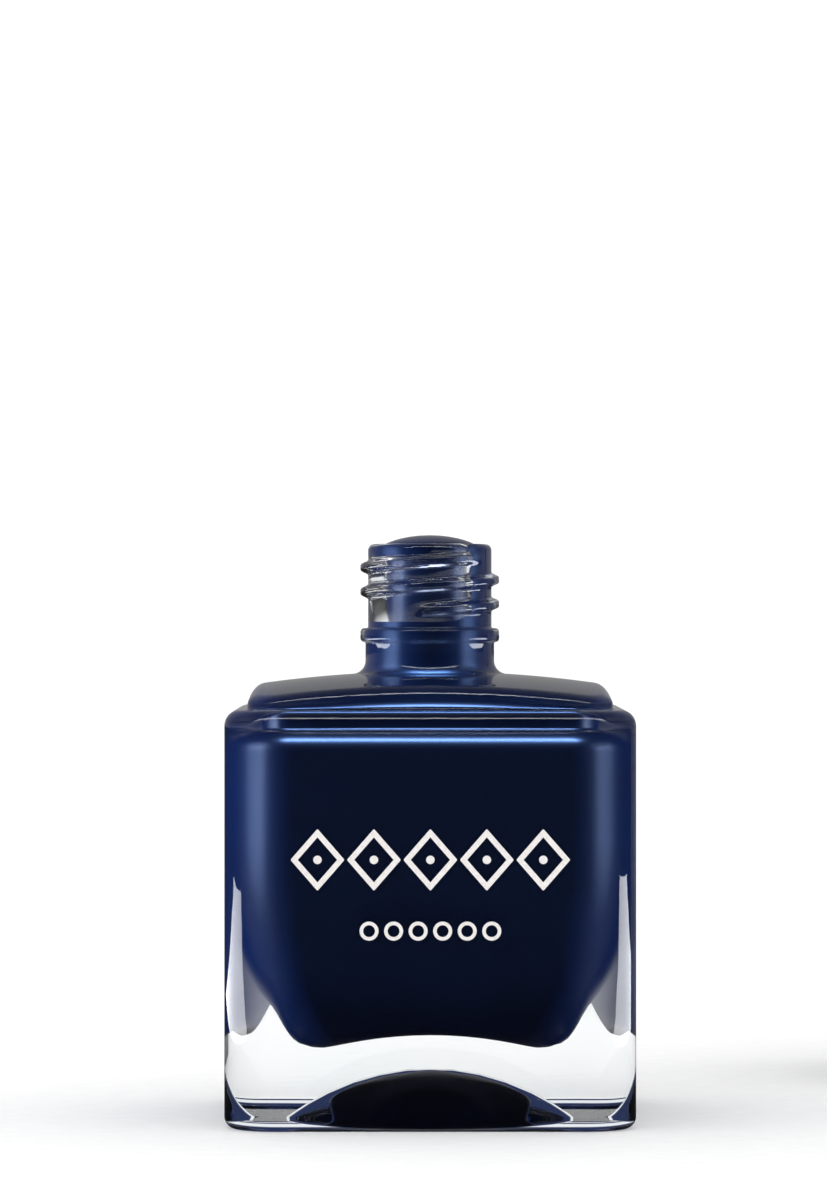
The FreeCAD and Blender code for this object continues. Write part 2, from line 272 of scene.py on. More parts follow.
def finish_piece(bm, name, node, body, materials, set_down=False, rounded=True):
    """Object in metres at the origin from a bmesh in millimetres, standing for one CAD node."""
    if set_down:
        turn_over = Matrix.Rotation(math.pi, 4, "X")
        place = Matrix.Translation((SET_DOWN_X, SET_DOWN_Y, CAP_TOP))
        bmesh.ops.transform(bm, matrix=place @ turn_over, verts=bm.verts)
    bmesh.ops.scale(bm, vec=(MM, MM, MM), verts=bm.verts)
    for face in bm.faces:
        face.smooth = rounded
    mesh = bpy.data.meshes.new(name)
    bm.to_mesh(mesh)
    bm.free()
    piece = bpy.data.objects.new(name, mesh)
    bpy.context.scene.collection.objects.link(piece)
    for material in materials:
        mesh.materials.append(material)
    if rounded:
        piece.modifiers.new("flat_faces_lead", "WEIGHTED_NORMAL")
    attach(piece, body)
    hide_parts(node)
    return piece


# ---------------------------------------------------------------- materials

def linear(code, alpha=1.0):
    """sRGB hex colour, such as "#8090A0", as linear values."""
    values = [int(code[start:start + 2], 16) / 255 for start in (1, 3, 5)]
    return [v / 12.92 if v <= 0.04045 else ((v + 0.055) / 1.055) ** 2.4 for v in values] + [alpha]


def add(tree, kind, settings=None, links=None):
    """Adds a node. settings are its own properties and its inputs' values; links join inputs to outputs."""
    node = tree.nodes.new(kind)
    for key, value in (settings or {}).items():
        if isinstance(key, str) and hasattr(node, key):
            setattr(node, key, value)
        else:
            node.inputs[key].default_value = value
    for key, source in (links or {}).items():
        tree.links.new(source, node.inputs[key])
    return node


def new_material(name):
    """Material with its node tree emptied, and its output node."""
    material = bpy.data.materials.new(name)
    material.use_nodes = True
    tree = material.node_tree
    tree.nodes.clear()
    return material, tree, add(tree, "ShaderNodeOutputMaterial")


def object_noise(tree, size_mm, detail=2.0, roughness=0.5, stretch=(1, 1, 1)):
    """Noise on the object's own coordinates whose features are about size_mm across."""
    place = add(tree, "ShaderNodeTexCoord")
    mapping = add(tree, "ShaderNodeMapping", {"Scale": stretch}, {"Vector": place.outputs["Object"]})
    return add(tree, "ShaderNodeTexNoise", {"Scale": 1 / (size_mm * MM), "Detail": detail, "Roughness": roughness},
               {"Vector": mapping.outputs["Vector"]})


def spread(tree, source, low, high):
    """A noise value spread from low to high."""
    return add(tree, "ShaderNodeMapRange", {"From Min": 0.3, "From Max": 0.7, "To Min": low, "To Max": high},
               {"Value": source}).outputs["Result"]


def two_tones(tree, source, dark, light):
    ramp = add(tree, "ShaderNodeValToRGB", {}, {"Fac": source})
    ramp.color_ramp.elements[0].position = 0.3
    ramp.color_ramp.elements[0].color = linear(dark)
    ramp.color_ramp.elements[1].position = 0.7
    ramp.color_ramp.elements[1].color = linear(light)
    return ramp.outputs["Color"]


def bump(tree, source, height_mm, strength=1.0, below=None):
    links = {"Height": source}
    if below:
        links["Normal"] = below
    return add(tree, "ShaderNodeBump", {"Strength": strength, "Distance": height_mm * MM}, links).outputs["Normal"]


def flint_glass():
    """Clear flint bottle glass, blown and fire polished: a long soft ripple, and a finer one from the mould."""
    material, tree, output = new_material("clear_flint_glass")
    ripple = object_noise(tree, 9.0, detail=1.0)
    mould = object_noise(tree, 2.5, detail=1.0)
    normal = bump(tree, ripple.outputs["Fac"], 0.05)
    normal = bump(tree, mould.outputs["Fac"], 0.003, below=normal)
    tint = two_tones(tree, ripple.outputs["Fac"], "#F6FAFB", "#FCFDFE")
    shader = add(tree, "ShaderNodeBsdfPrincipled",
                 {"IOR": 1.52, "Roughness": 0.0, "Transmission Weight": 1.0},
                 {"Base Color": tint, "Normal": normal})
    tree.links.new(shader.outputs["BSDF"], output.inputs["Surface"])
    return material


def lacquer_behind_glass():
    """Navy nitrocellulose lacquer that wets the glass: the interface hardly reflects, the pigment clouds a little."""
    material, tree, output = new_material("navy_lacquer_behind_glass")
    clouds = object_noise(tree, 7.0, detail=3.0)
    colour = two_tones(tree, clouds.outputs["Fac"], "#010416", "#01061C")
    shader = add(tree, "ShaderNodeBsdfPrincipled",
                 {"IOR": 1.48, "Roughness": 0.3, "Specular IOR Level": 0.12, "Specular Tint": linear("#6CA2FF")},
                 {"Base Color": colour})
    tree.links.new(shader.outputs["BSDF"], output.inputs["Surface"])
    return material


def lacquer_in_air():
    """The same lacquer where it meets the air: a wet, self-levelled gloss."""
    material, tree, output = new_material("navy_lacquer_wet_face")
    clouds = object_noise(tree, 4.0, detail=3.0)
    colour = two_tones(tree, clouds.outputs["Fac"], "#02081F", "#050E2C")
    rough = spread(tree, clouds.outputs["Fac"], 0.02, 0.05)
    shader = add(tree, "ShaderNodeBsdfPrincipled", {"IOR": 1.48},
                 {"Base Color": colour, "Roughness": rough})
    tree.links.new(shader.outputs["BSDF"], output.inputs["Surface"])
    return material


def screen_ink():
    """Off-white ceramic screen ink, fired on: satin, with the mesh's faint unevenness."""
    material, tree, output = new_material("off_white_screen_ink")
    film = object_noise(tree, 0.25, detail=2.0)
    colour = two_tones(tree, film.outputs["Fac"], "#E6E1DF", "#F3F0EE")
    normal = bump(tree, film.outputs["Fac"], 0.006)
    shader = add(tree, "ShaderNodeBsdfPrincipled", {"IOR": 1.5, "Roughness": 0.45},
                 {"Base Color": colour, "Normal": normal})
    tree.links.new(shader.outputs["BSDF"], output.inputs["Surface"])
    return material


def satin_metal(name, dark, light, rough_low, rough_high, grain_mm, grain_height):
    """A metal or metallised surface with a fine grain that varies its gloss."""
    material, tree, output = new_material(name)
    grain = object_noise(tree, grain_mm, detail=3.0)
    wear = object_noise(tree, 12.0, detail=4.0)
    colour = two_tones(tree, wear.outputs["Fac"], dark, light)
    rough = spread(tree, wear.outputs["Fac"], rough_low, rough_high)
    normal = bump(tree, grain.outputs["Fac"], grain_height)
    shader = add(tree, "ShaderNodeBsdfPrincipled", {"Metallic": 1.0},
                 {"Base Color": colour, "Roughness": rough, "Normal": normal})
    tree.links.new(shader.outputs["BSDF"], output.inputs["Surface"])
    return material


def moulded_plastic(name, dark, light, rough_low, rough_high, grain_mm, grain_height, ior=1.5):
    """An injection-moulded plastic: spark-eroded grain, and slow patches where the mould polished it."""
    material, tree, output = new_material(name)
    grain = object_noise(tree, grain_mm, detail=3.0)
    patches = object_noise(tree, 8.0, detail=3.0)
    colour = two_tones(tree, patches.outputs["Fac"], dark, light)
    rough = spread(tree, patches.outputs["Fac"], rough_low, rough_high)
    normal = bump(tree, grain.outputs["Fac"], grain_height)
    shader = add(tree, "ShaderNodeBsdfPrincipled", {"IOR": ior},
                 {"Base Color": colour, "Roughness": rough, "Normal": normal})
    tree.links.new(shader.outputs["BSDF"], output.inputs["Surface"])
    return material


def silver_lacquered_abs():
    """ABS with a silver flake lacquer: half mirror, half pale grey, with a fine sparkle and a slow mottle."""
    material, tree, output = new_material("silver_lacquered_abs")
    flake = object_noise(tree, 0.12, detail=1.0)
    mottle = object_noise(tree, 6.0, detail=1.0)
    colour = two_tones(tree, flake.outputs["Fac"], "#A4A5A8", "#B9BABD")
    rough = spread(tree, mottle.outputs["Fac"], 0.3, 0.34)
    normal = bump(tree, flake.outputs["Fac"], 0.0015)
    shader = add(tree, "ShaderNodeBsdfPrincipled", {"Metallic": 0.55},
                 {"Base Color": colour, "Roughness": rough, "Normal": normal})
    tree.links.new(shader.outputs["BSDF"], output.inputs["Surface"])
    return material


# ---------------------------------------------------------------- glass and lacquer

def dome(top, sphere):
    """Height of a shallow dome that peaks on the axis, as a function of x and y."""
    return lambda x, y: top - sphere + math.sqrt(sphere ** 2 - x ** 2 - y ** 2)


def ridge(angle, height, start, turns, width, crest):
    """Share of a thread's full depth, from 0 to 1, at a direction and a height."""
    turned = (angle - THREAD_ANGLE) % (2 * math.pi)
    most = 0.0
    for lap in range(-1, int(turns) + 2):
        along = turned + 2 * math.pi * lap
        off = abs(height - start - PITCH * along / (2 * math.pi))
        rise = smooth(1 - (off - crest / 2) / ((width - crest) / 2))
        fade = smooth(along / RUN_IN) * smooth((2 * math.pi * turns - along) / RUN_OUT)
        most = max(most, rise * fade)
    return most


def neck_thread(angle, radius, height):
    """How far the thread stands out of the neck."""
    if not BEAD_HIGH < height < RIM - RIM_EDGE or radius > FINISH + 0.1:
        return 0.0
    return THREAD_DEPTH * ridge(angle, height, THREAD_START, TURNS, THREAD_WIDTH, THREAD_CREST)


def base_rings():
    """Hollow under the base, its lip, the flat that the bottle stands on, and the rounded lower edge."""
    sphere = (PUNT ** 2 + PUNT_RISE ** 2) / (2 * PUNT_RISE)
    level = dome(PUNT_RISE, sphere)
    rings = [(radius, radius, level) for radius in (0.4, 2, 4, 6, 8, 9.5, 10.5)]
    lean = math.asin(PUNT / sphere)
    start = (PUNT - PUNT_LIP * math.cos(lean), PUNT_LIP * math.sin(lean))
    for share in [0] + shares(5):
        radius = mix(mix(start[0], PUNT, share), mix(PUNT, PUNT + PUNT_LIP, share), share)
        height = mix(mix(start[1], 0, share), 0, share)
        rings.append((radius, radius, height))
    foot_half = BODY_HALF - BASE_EDGE
    foot_corner = BODY_CORNER - BASE_EDGE
    for share in shares(3):
        rings.append((mix(PUNT + PUNT_LIP, foot_half, share), mix(PUNT + PUNT_LIP, foot_corner, share), 0))
    for turn in quarter(6):
        out = BASE_EDGE * math.sin(turn)
        rings.append((foot_half + out, foot_corner + out, BASE_EDGE * (1 - math.cos(turn))))
    return rings


def shoulder_rings():
    """Upright walls, the ledge's rounded edge, the raised boss and its domed top."""
    edge_start = LEDGE - LEDGE_EDGE
    rings = [(BODY_HALF, BODY_CORNER, mix(BASE_EDGE, edge_start, share)) for share in (0.01, 0.25, 0.5, 0.75, 0.99)]
    for turn in [0] + quarter(8):
        inset = LEDGE_EDGE * (1 - math.cos(turn))
        rings.append((BODY_HALF - inset, BODY_CORNER - inset, edge_start + LEDGE_EDGE * math.sin(turn)))
    top = dome(BOSS_TOP, BOSS_DOME)
    wall = top(BOSS_HALF, 0) - LEDGE

    def climb(share):
        return lambda x, y: mix(LEDGE, top(x, y), share)

    rings.append((BOSS_HALF + BOSS_FOOT, BOSS_CORNER + BOSS_FOOT, LEDGE))
    for turn in quarter(4):
        out = BOSS_FOOT * (1 - math.sin(turn))
        rings.append((BOSS_HALF + out, BOSS_CORNER + out, climb(BOSS_FOOT / wall * (1 - math.cos(turn)))))
    for turn in [0] + quarter(8):
        inset = BOSS_EDGE * (1 - math.cos(turn))
        rings.append((BOSS_HALF - inset, BOSS_CORNER - inset, climb(1 - BOSS_EDGE / wall * (1 - math.sin(turn)))))
    flat_half = BOSS_HALF - BOSS_EDGE
    flat_corner = BOSS_CORNER - BOSS_EDGE
    neck_foot = NECK + NECK_FOOT
    for share in shares(10):
        rings.append((mix(flat_half, neck_foot, share), mix(flat_corner, neck_foot, share), top))
    return rings


def neck_profile():
    """Half-section of the neck from its foot to the mouth, as (radius, height) points."""
    foot_level = dome(BOSS_TOP, BOSS_DOME)(NECK + NECK_FOOT, 0)
    finish_low = BEAD_HIGH + BEAD_FOOT
    finish_high = RIM - RIM_EDGE
    profile = round_off(NECK + NECK_FOOT, foot_level + NECK_FOOT, NECK_FOOT, 264, 180, 7)
    profile += [(NECK, mix(foot_level + NECK_FOOT, BEAD_LOW - BEAD_FOOT, 0.5))]
    profile += round_off(NECK + BEAD_FOOT, BEAD_LOW - BEAD_FOOT, BEAD_FOOT, 180, 90, 3)
    profile += round_off(BEAD - BEAD_EDGE, BEAD_LOW + BEAD_EDGE, BEAD_EDGE, -90, 0, 5)
    profile += round_off(BEAD - BEAD_EDGE, BEAD_HIGH - BEAD_EDGE, BEAD_EDGE, 0, 90, 5)
    profile += round_off(FINISH + BEAD_FOOT, finish_low, BEAD_FOOT, 270, 180, 3)
    finish_steps = 56
    profile += [(FINISH, mix(finish_low, finish_high, share)) for share in shares(finish_steps)[:-1]]
    profile += round_off(FINISH - RIM_EDGE, finish_high, RIM_EDGE, 0, 90, 7)
    profile += round_off(BORE + MOUTH_EDGE, RIM - MOUTH_EDGE, MOUTH_EDGE, 90, 180, 6)
    return profile


def vaults(x, y):
    """Height of the floor: two crossed barrels, lowest in the four corners and arched along each side."""
    radius = (FLOOR_HALF ** 2 + VAULT_RISE ** 2) / (2 * VAULT_RISE)
    heights = [math.sqrt(max(0.0, radius ** 2 - across ** 2)) - radius for across in (x, y)]
    return FLOOR + VAULT_RISE + blended_max(*heights)


def blended_max(a, b):
    """The greater of two heights, with the crease between them rounded."""
    return (a + b + math.sqrt((a - b) ** 2 + VAULT_BLEND ** 2)) / 2


def cavity_rings(grow):
    """The inside of the glass from the foot of the bore to the floor, moved out by grow."""
    level = dome(CAVITY_TOP + grow, CAVITY_DOME + grow)
    flare = BORE + BORE_FLARE
    flare_foot = level(flare, 0)
    rings = []
    for radius, height in round_off(flare, flare_foot + BORE_FLARE, BORE_FLARE - grow, 180, 270, 8):
        rings.append((radius, radius, height))
    flat_half = INNER_BOSS_HALF - INNER_BOSS_EDGE
    flat_corner = INNER_BOSS_CORNER - INNER_BOSS_EDGE
    for share in shares(7):
        rings.append((mix(flare, flat_half, share), mix(flare, flat_corner, share), level))
    shoulder = SHOULDER + grow

    def climb(share):
        return lambda x, y: mix(shoulder, level(x, y), share)

    wall = level(INNER_BOSS_HALF, 0) - shoulder
    for turn in quarter(7):
        out = (INNER_BOSS_EDGE + grow) * math.sin(turn)
        fall = INNER_BOSS_EDGE * (1 - math.cos(turn))
        rings.append((flat_half + out, flat_corner + out, climb(1 - fall / wall)))
    boss_half = INNER_BOSS_HALF + grow
    boss_corner = INNER_BOSS_CORNER + grow
    for turn in [0] + quarter(4):
        out = INNER_BOSS_FOOT * (1 - math.cos(turn))
        rise = INNER_BOSS_FOOT * (1 - math.sin(turn))
        rings.append((boss_half + out, boss_corner + out, climb(rise / wall)))
    for turn in [0] + quarter(8):
        inset = CAVITY_EDGE * (1 - math.sin(turn))
        drop = (CAVITY_EDGE + grow) * (1 - math.cos(turn))
        half = CAVITY_HALF - inset + grow * math.sin(turn)
        rings.append((half, CAVITY_CORNER - inset + grow * math.sin(turn), shoulder - drop))
    heel_top = FLOOR + HEEL
    for height in (mix(heel_top, SHOULDER - CAVITY_EDGE, share) for share in (0.97, 0.65, 0.35, 0.06)):
        rings.append((CAVITY_HALF + grow, CAVITY_CORNER + grow, height))
    for turn in reversed([0] + quarter(24)):
        left = 1 - math.sin(turn)
        half = CAVITY_HALF - (CAVITY_HALF - FLOOR_HALF) * left + grow * math.sin(turn)
        corner = mix(CAVITY_CORNER, HEEL_CORNER, left) + grow * math.sin(turn)
        height = FLOOR + HEEL * (1 - math.cos(turn)) - grow * math.cos(turn)
        rings.append((half, corner, lambda x, y, height=height: blended_max(height, vaults(x, y) - grow)))
    for share in (0.1, 0.22, 0.35, 0.5, 0.65, 0.8, 0.92, 0.98):
        half = FLOOR_HALF * (1 - share)
        rings.append((half, HEEL_CORNER * (1 - share), lambda x, y: vaults(x, y) - grow))
    return rings


def make_glass(material):
    rings = base_rings() + shoulder_rings()
    rings += [(radius, radius, height) for radius, height in neck_profile()]
    bore_foot = CAVITY_TOP + BORE_FLARE
    rings += [(BORE, BORE, mix(RIM - MOUTH_EDGE, bore_foot, share)) for share in (0.05, 0.35, 0.65, 0.95)]
    rings += cavity_rings(0)
    bm = skin(rings, square_directions(), neck_thread)
    return finish_piece(bm, "bottle_glass", "glass_bottle", "bottle", [material])


def make_lacquer(behind_glass, in_air):
    """The filling: a bulge at the mouth, the bore, and the whole inside of the glass."""
    # The wet line is two thirds of the way round the mouth's rounded edge.
    wet_turn = math.radians(60)
    wet_radius = BORE + MOUTH_EDGE * (1 - math.cos(wet_turn))
    wet_level = RIM - MOUTH_EDGE * (1 - math.sin(wet_turn))
    rings = []
    for share in (0.06, 0.25, 0.45, 0.62, 0.77, 0.88, 0.95, 1.0):
        height = wet_level + (RIM + BULGE - wet_level) * (1 - share ** 2) ** 0.8
        rings.append((wet_radius * share, wet_radius * share, height))
    bulge_rings = len(rings)
    for radius, height in round_off(BORE + MOUTH_EDGE, RIM - MOUTH_EDGE, MOUTH_EDGE - WETTING, 122, 180, 4):
        rings.append((radius, radius, height))
    bore = BORE + WETTING
    rings += [(bore, bore, mix(RIM - MOUTH_EDGE, CAVITY_TOP + BORE_FLARE, share)) for share in (0.3, 0.6, 0.95)]
    rings += cavity_rings(WETTING)
    bm = skin(rings, square_directions())
    for face in bm.faces:
        wet = all(vert.co.z > wet_level - 1e-4 for vert in face.verts)
        face.material_index = 1 if wet else 0
    return finish_piece(bm, "navy_lacquer", "polish", "bottle", [behind_glass, in_air])


def make_balls(material):
    for number, angle in enumerate((-38.0, 197.0), start=1):
        node = f"mixing_ball_{number}"
        low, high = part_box(node)
        centre = (low + high) / 2 / MM
        bm = bmesh.new()
        bmesh.ops.create_icosphere(bm, subdivisions=4, radius=(high.x - low.x) / 2 / MM)
        bmesh.ops.translate(bm, vec=centre, verts=bm.verts)
        finish_piece(bm, f"stirring_ball_{number}", node, f"ball_{number}", [material])


# ---------------------------------------------------------------- print

INK = 0.05
INK_CORNER = 0.1
ORNAMENT_COUNT = 5
ORNAMENT_WIDTH = 4.1
ORNAMENT_HEIGHT = 4.7
ORNAMENT_GAP = 0.18
ORNAMENT_STROKE = 0.42
ORNAMENT_DOT = 0.32
ORNAMENT_LEVEL = 20.7
RULE_COUNT = 6
RULE_RING = 0.72
RULE_STROKE = 0.27
RULE_SPACING = 1.86
RULE_LEVEL = 15.3


def ink_outline(segments, width, height, stroke, x, z):
    """One closed stroke of ink, or a filled dot if stroke is None, on the front face."""
    bm = bmesh.new()
    bmesh.ops.create_circle(bm, cap_ends=True, segments=segments, radius=1)
    bmesh.ops.scale(bm, vec=(width / 2, height / 2, 1), verts=bm.verts)
    outer = list(bm.verts)
    if stroke:
        whole = list(bm.faces)
        bmesh.ops.inset_region(bm, faces=whole, thickness=stroke, use_boundary=True, use_even_offset=True)
        bmesh.ops.delete(bm, geom=whole, context="FACES")
    bmesh.ops.solidify(bm, geom=list(bm.faces), thickness=INK)
    if segments == 4:
        # Ink draws its sharp corners round.
        reach = min(vert.co.xy.length for vert in outer) - 1e-4
        upright = [edge for edge in bm.edges if (edge.verts[0].co - edge.verts[1].co).xy.length < 1e-6]
        tips = [edge for edge in upright if edge.verts[0].co.xy.length > reach]
        bmesh.ops.bevel(bm, geom=tips, offset=INK_CORNER, offset_type="OFFSET", segments=5, profile=0.5,
                        affect="EDGES", material=-1)
    stand = Matrix.Translation((x, 0, z)) @ Matrix.Rotation(math.pi / 2, 4, "X")
    bmesh.ops.transform(bm, matrix=stand, verts=bm.verts)
    # The layer's back lies on the glass, whichever way it was thickened.
    back = max(vert.co.y for vert in bm.verts)
    bmesh.ops.translate(bm, vec=(0, -BODY_HALF - back, 0), verts=bm.verts)
    bmesh.ops.recalc_face_normals(bm, faces=bm.faces)
    return bm


def make_print(material):
    strokes = []
    for index in range(ORNAMENT_COUNT):
        x = (index - (ORNAMENT_COUNT - 1) / 2) * (ORNAMENT_WIDTH + ORNAMENT_GAP)
        strokes.append(ink_outline(4, ORNAMENT_WIDTH, ORNAMENT_HEIGHT, ORNAMENT_STROKE, x, ORNAMENT_LEVEL))
        strokes.append(ink_outline(40, 2 * ORNAMENT_DOT, 2 * ORNAMENT_DOT, None, x, ORNAMENT_LEVEL))
    finish_piece(joined(*strokes), "print_lozenges", "front_ornament", "bottle", [material],
                 rounded=False)
    rings = []
    for index in range(RULE_COUNT):
        x = (index - (RULE_COUNT - 1) / 2) * RULE_SPACING
        rings.append(ink_outline(56, 2 * RULE_RING, 2 * RULE_RING, RULE_STROKE, x, RULE_LEVEL))
    finish_piece(joined(*rings), "print_rings", "front_rule", "bottle", [material], rounded=False)


# ---------------------------------------------------------------- cap set

def flat_rings(half, corner, height, counts=(0.03, 0.35, 0.7)):
    """Rings that cover a flat square face from its middle to near its edge."""
    return [(half * share, corner * share, height) for share in counts]


def make_overcap(material):
    """Square cup with an even wall, an outer edge rounded at its closed end, and a softened mouth."""
    hollow = CAP_HALF - CAP_WALL
    hollow_corner = CAP_CORNER - CAP_WALL
    hollow_top = CAP_TOP - CAP_TOP_WALL
    rings = flat_rings(hollow, hollow_corner, hollow_top)
    for turn in [0] + quarter(3):
        inset = CAP_INNER_EDGE * (1 - math.sin(turn))
        drop = CAP_INNER_EDGE * (1 - math.cos(turn))
        rings.append((hollow - inset, hollow_corner - inset, hollow_top - drop))
    mouth_inner = CAP_MOUTH_EDGE / 2
    for share in (0.02, 0.5, 0.98):
        rings.append((hollow, hollow_corner, mix(hollow_top - CAP_INNER_EDGE, CAP_SEAT + mouth_inner, share)))
    for turn in [0] + quarter(3):
        out = mouth_inner * (1 - math.cos(turn))
        rings.append((hollow + out, hollow_corner + out, CAP_SEAT + mouth_inner * (1 - math.sin(turn))))
    for turn in [0] + quarter(4):
        inset = CAP_MOUTH_EDGE * (1 - math.sin(turn))
        drop = CAP_MOUTH_EDGE * (1 - math.cos(turn))
        rings.append((CAP_HALF - inset, CAP_CORNER - inset, CAP_SEAT + drop))
    for share in (0.02, 0.5, 0.98):
        rings.append((CAP_HALF, CAP_CORNER, mix(CAP_SEAT + CAP_MOUTH_EDGE, CAP_TOP - CAP_EDGE, share)))
    for turn in [0] + quarter(7):
        inset = CAP_EDGE * (1 - math.cos(turn))
        rings.append((CAP_HALF - inset, CAP_CORNER - inset, CAP_TOP - CAP_EDGE * (1 - math.sin(turn))))
    rings += reversed(flat_rings(CAP_HALF - CAP_EDGE, CAP_CORNER - CAP_EDGE, CAP_TOP))
    finish_piece(skin(rings, square_directions()), "overcap_shell", "overcap", "overcap", [material],
                 set_down=True)


def box_piece(low, high, edge):
    """Box between two corners with its edges rounded."""
    bm = bmesh.new()
    bmesh.ops.create_cube(bm, size=1)
    sides = [b - a for a, b in zip(low, high)]
    middle = [(a + b) / 2 for a, b in zip(low, high)]
    bmesh.ops.scale(bm, vec=sides, verts=bm.verts)
    bmesh.ops.translate(bm, vec=middle, verts=bm.verts)
    bmesh.ops.bevel(bm, geom=list(bm.edges), offset=edge, offset_type="OFFSET", segments=3, profile=0.5,
                    affect="EDGES", material=-1)
    return bm


def make_insert(material):
    """Plate, sleeve that grips the screw cap, and the four fins between the sleeve and the overcap's walls."""
    reach = CAP_HALF - CAP_WALL - INSERT_GAP
    corner = CAP_CORNER - CAP_WALL - INSERT_GAP
    plate_top = CAP_TOP - CAP_TOP_WALL
    edge = 0.2
    rings = flat_rings(reach - edge, corner - edge, INSERT_LOW)
    for turn in [0] + quarter(3):
        out = edge * (math.sin(turn) - 1)
        rings.append((reach + out, corner + out, INSERT_LOW + edge * (1 - math.cos(turn))))
    for turn in [0] + quarter(3):
        out = edge * (math.cos(turn) - 1)
        rings.append((reach + out, corner + out, plate_top - edge * (1 - math.sin(turn))))
    rings += reversed(flat_rings(reach - edge, corner - edge, plate_top))
    outer = INSERT_BORE + INSERT_WALL
    lip = 0.3
    loop = round_off(INSERT_BORE + lip, INSERT_MOUTH + lip, lip, 180, 270, 4)
    loop += round_off(outer - lip, INSERT_MOUTH + lip, lip, 270, 360, 4)
    loop += [(outer, mix(INSERT_MOUTH, INSERT_LOW, share)) for share in (0.03, 0.5, 0.97)]
    loop += [(outer, INSERT_LOW + 0.05), (INSERT_BORE, INSERT_LOW + 0.05)]
    loop += [(INSERT_BORE, mix(INSERT_MOUTH, INSERT_LOW, share)) for share in (0.97, 0.5, 0.03)]
    shells = [skin(rings, square_directions()), lathe(loop, 96)]
    near = (INSERT_BORE + outer) / 2
    low, high = INSERT_MOUTH + FIN_DROP, INSERT_LOW + 0.05
    for side in (-1, 1):
        ends = sorted((side * near, side * reach))
        shells.append(box_piece((ends[0], -FIN / 2, low), (ends[1], FIN / 2, high), 0.12))
        shells.append(box_piece((-FIN / 2, ends[0], low), (FIN / 2, ends[1], high), 0.12))
    finish_piece(joined(*shells), "cap_sleeve", "overcap_insert", "overcap", [material],
                 set_down=True)


def groove_directions():
    """Directions round the screw cap, closer together where a groove is cut."""
    pitch = 360 / GROOVES
    offsets = (-2.6, -2.2, -1.7, -1.0, 0, 1.0, 1.7, 2.2, 2.6, pitch / 2)
    return [math.radians(pitch * index + offset) for index in range(GROOVES) for offset in offsets]


def screw_cap_relief(angle, radius, height):
    """Grip grooves outside, cut with a round cutter, and the thread inside."""
    if abs(radius - SCREW_CAP) < 0.01 and height < SCREW_CAP_TOP - 2 * SCREW_CAP_EDGE:
        across = SCREW_CAP * abs(math.remainder(angle, 2 * math.pi / GROOVES))
        if across >= GROOVE_CUTTER:
            return 0.0
        cut = GROOVE_CUTTER - GROOVE_DEPTH - math.sqrt(GROOVE_CUTTER ** 2 - across ** 2)
        return min(0.0, cut)
    if abs(radius - SOCKET) < 0.01 and SCREW_CAP_FOOT + 0.3 < height < COLLAR_LOW:
        share = ridge(angle, height, THREAD_START + PITCH / 2, CAP_THREAD_TURNS, CAP_THREAD_WIDTH, CAP_THREAD_CREST)
        return -CAP_THREAD_DEPTH * share
    return 0.0


def make_screw_cap(material):
    edge = 0.2
    profile = [(radius, SCREW_CAP_TOP - SCREW_CAP_TOP_WALL) for radius in (0.3, 2.5, CORE - edge)]
    profile += round_off(CORE - edge, SCREW_CAP_TOP - SCREW_CAP_TOP_WALL - edge, edge, 60, 0, 3)
    profile += [(CORE, mix(SCREW_CAP_TOP - SCREW_CAP_TOP_WALL, COLLAR_TOP, share)) for share in (0.1, 0.5, 0.9)]
    profile += round_off(CORE + 0.1, COLLAR_TOP + 0.1, 0.1, 180, 270, 2)
    profile += [(SOCKET - 0.1, COLLAR_TOP)]
    profile += round_off(SOCKET - 0.1, COLLAR_TOP - 0.1, 0.1, 60, 0, 2)
    steps = 40
    profile += [(SOCKET, mix(COLLAR_LOW, SCREW_CAP_FOOT + edge, share)) for share in [0] + shares(steps)[:-1]]
    profile += round_off(SOCKET + edge, SCREW_CAP_FOOT + edge, edge, 180, 270, 4)
    profile += round_off(SCREW_CAP - edge, SCREW_CAP_FOOT + edge, edge, 270, 360, 4)
    groove_end = SCREW_CAP_TOP - 2 * SCREW_CAP_EDGE
    profile += [(SCREW_CAP, mix(SCREW_CAP_FOOT + edge, groove_end, share)) for share in (0.02, 0.5, 0.995)]
    profile += [(SCREW_CAP, groove_end + 0.06)]
    profile += round_off(SCREW_CAP - SCREW_CAP_EDGE, SCREW_CAP_TOP - SCREW_CAP_EDGE, SCREW_CAP_EDGE, 0, 90, 6)
    profile += [(radius, SCREW_CAP_TOP) for radius in (SCREW_CAP - SCREW_CAP_EDGE - 0.3, 3.5, 0.3)]
    rings = [(radius, radius, height) for radius, height in profile]
    finish_piece(skin(rings, groove_directions(), screw_cap_relief), "screw_cap", "inner_cap", "applicator",
                 [material], set_down=True)


